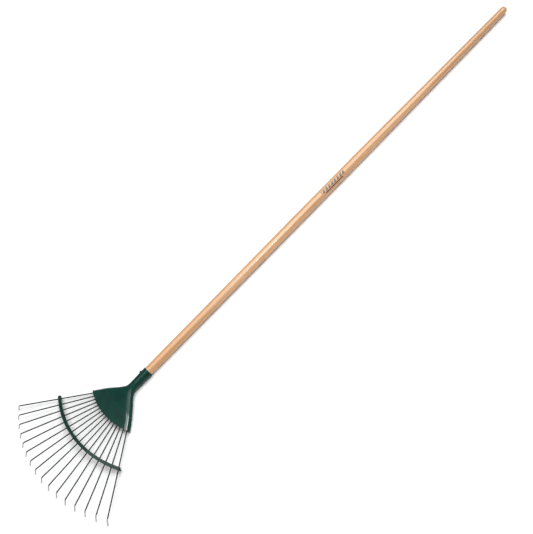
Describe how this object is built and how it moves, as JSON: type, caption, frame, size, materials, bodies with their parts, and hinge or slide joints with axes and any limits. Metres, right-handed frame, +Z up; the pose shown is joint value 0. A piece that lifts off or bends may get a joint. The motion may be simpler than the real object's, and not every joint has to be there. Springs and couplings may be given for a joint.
{
  "type": "leaf rake",
  "caption": "Leaf rake with a long barrel-turned ash handle, a pressed steel socket head and a fan of sprung wire tines held apart by a curved brace.",
  "frame": {"origin": "on the floor under the middle of the rake's overall length, with the rake lying as put down, tips and handle on the floor", "axes": "+Y from the handle's top end to the tine tips, +X across the fan, +Z up from the floor"},
  "size_m": [0.43, 1.7892, 0.0449],
  "materials": {
    "wood": "varnished ash, straight grain",
    "head_paint": "semi-gloss green enamel on pressed steel",
    "brace_paint": "semi-gloss green enamel on a folded steel channel",
    "tine_paint": "green enamel on spring steel wire, worn to bare steel at the tips",
    "screw": "painted over with the head"
  },
  "bodies": {
    "root": {"handle": "wood", "head": "head_paint", "backing_plate": "head_paint", "brace": "brace_paint", "socket_screw": "screw", "tine_01": "tine_paint", "tine_02": "tine_paint", "tine_03": "tine_paint", "tine_04": "tine_paint", "tine_05": "tine_paint", "tine_06": "tine_paint", "tine_07": "tine_paint", "tine_08": "tine_paint", "tine_09": "tine_paint", "tine_10": "tine_paint", "tine_11": "tine_paint", "tine_12": "tine_paint", "tine_13": "tine_paint", "tine_14": "tine_paint", "tine_15": "tine_paint", "tine_16": "tine_paint"}
  },
  "joints": []
}
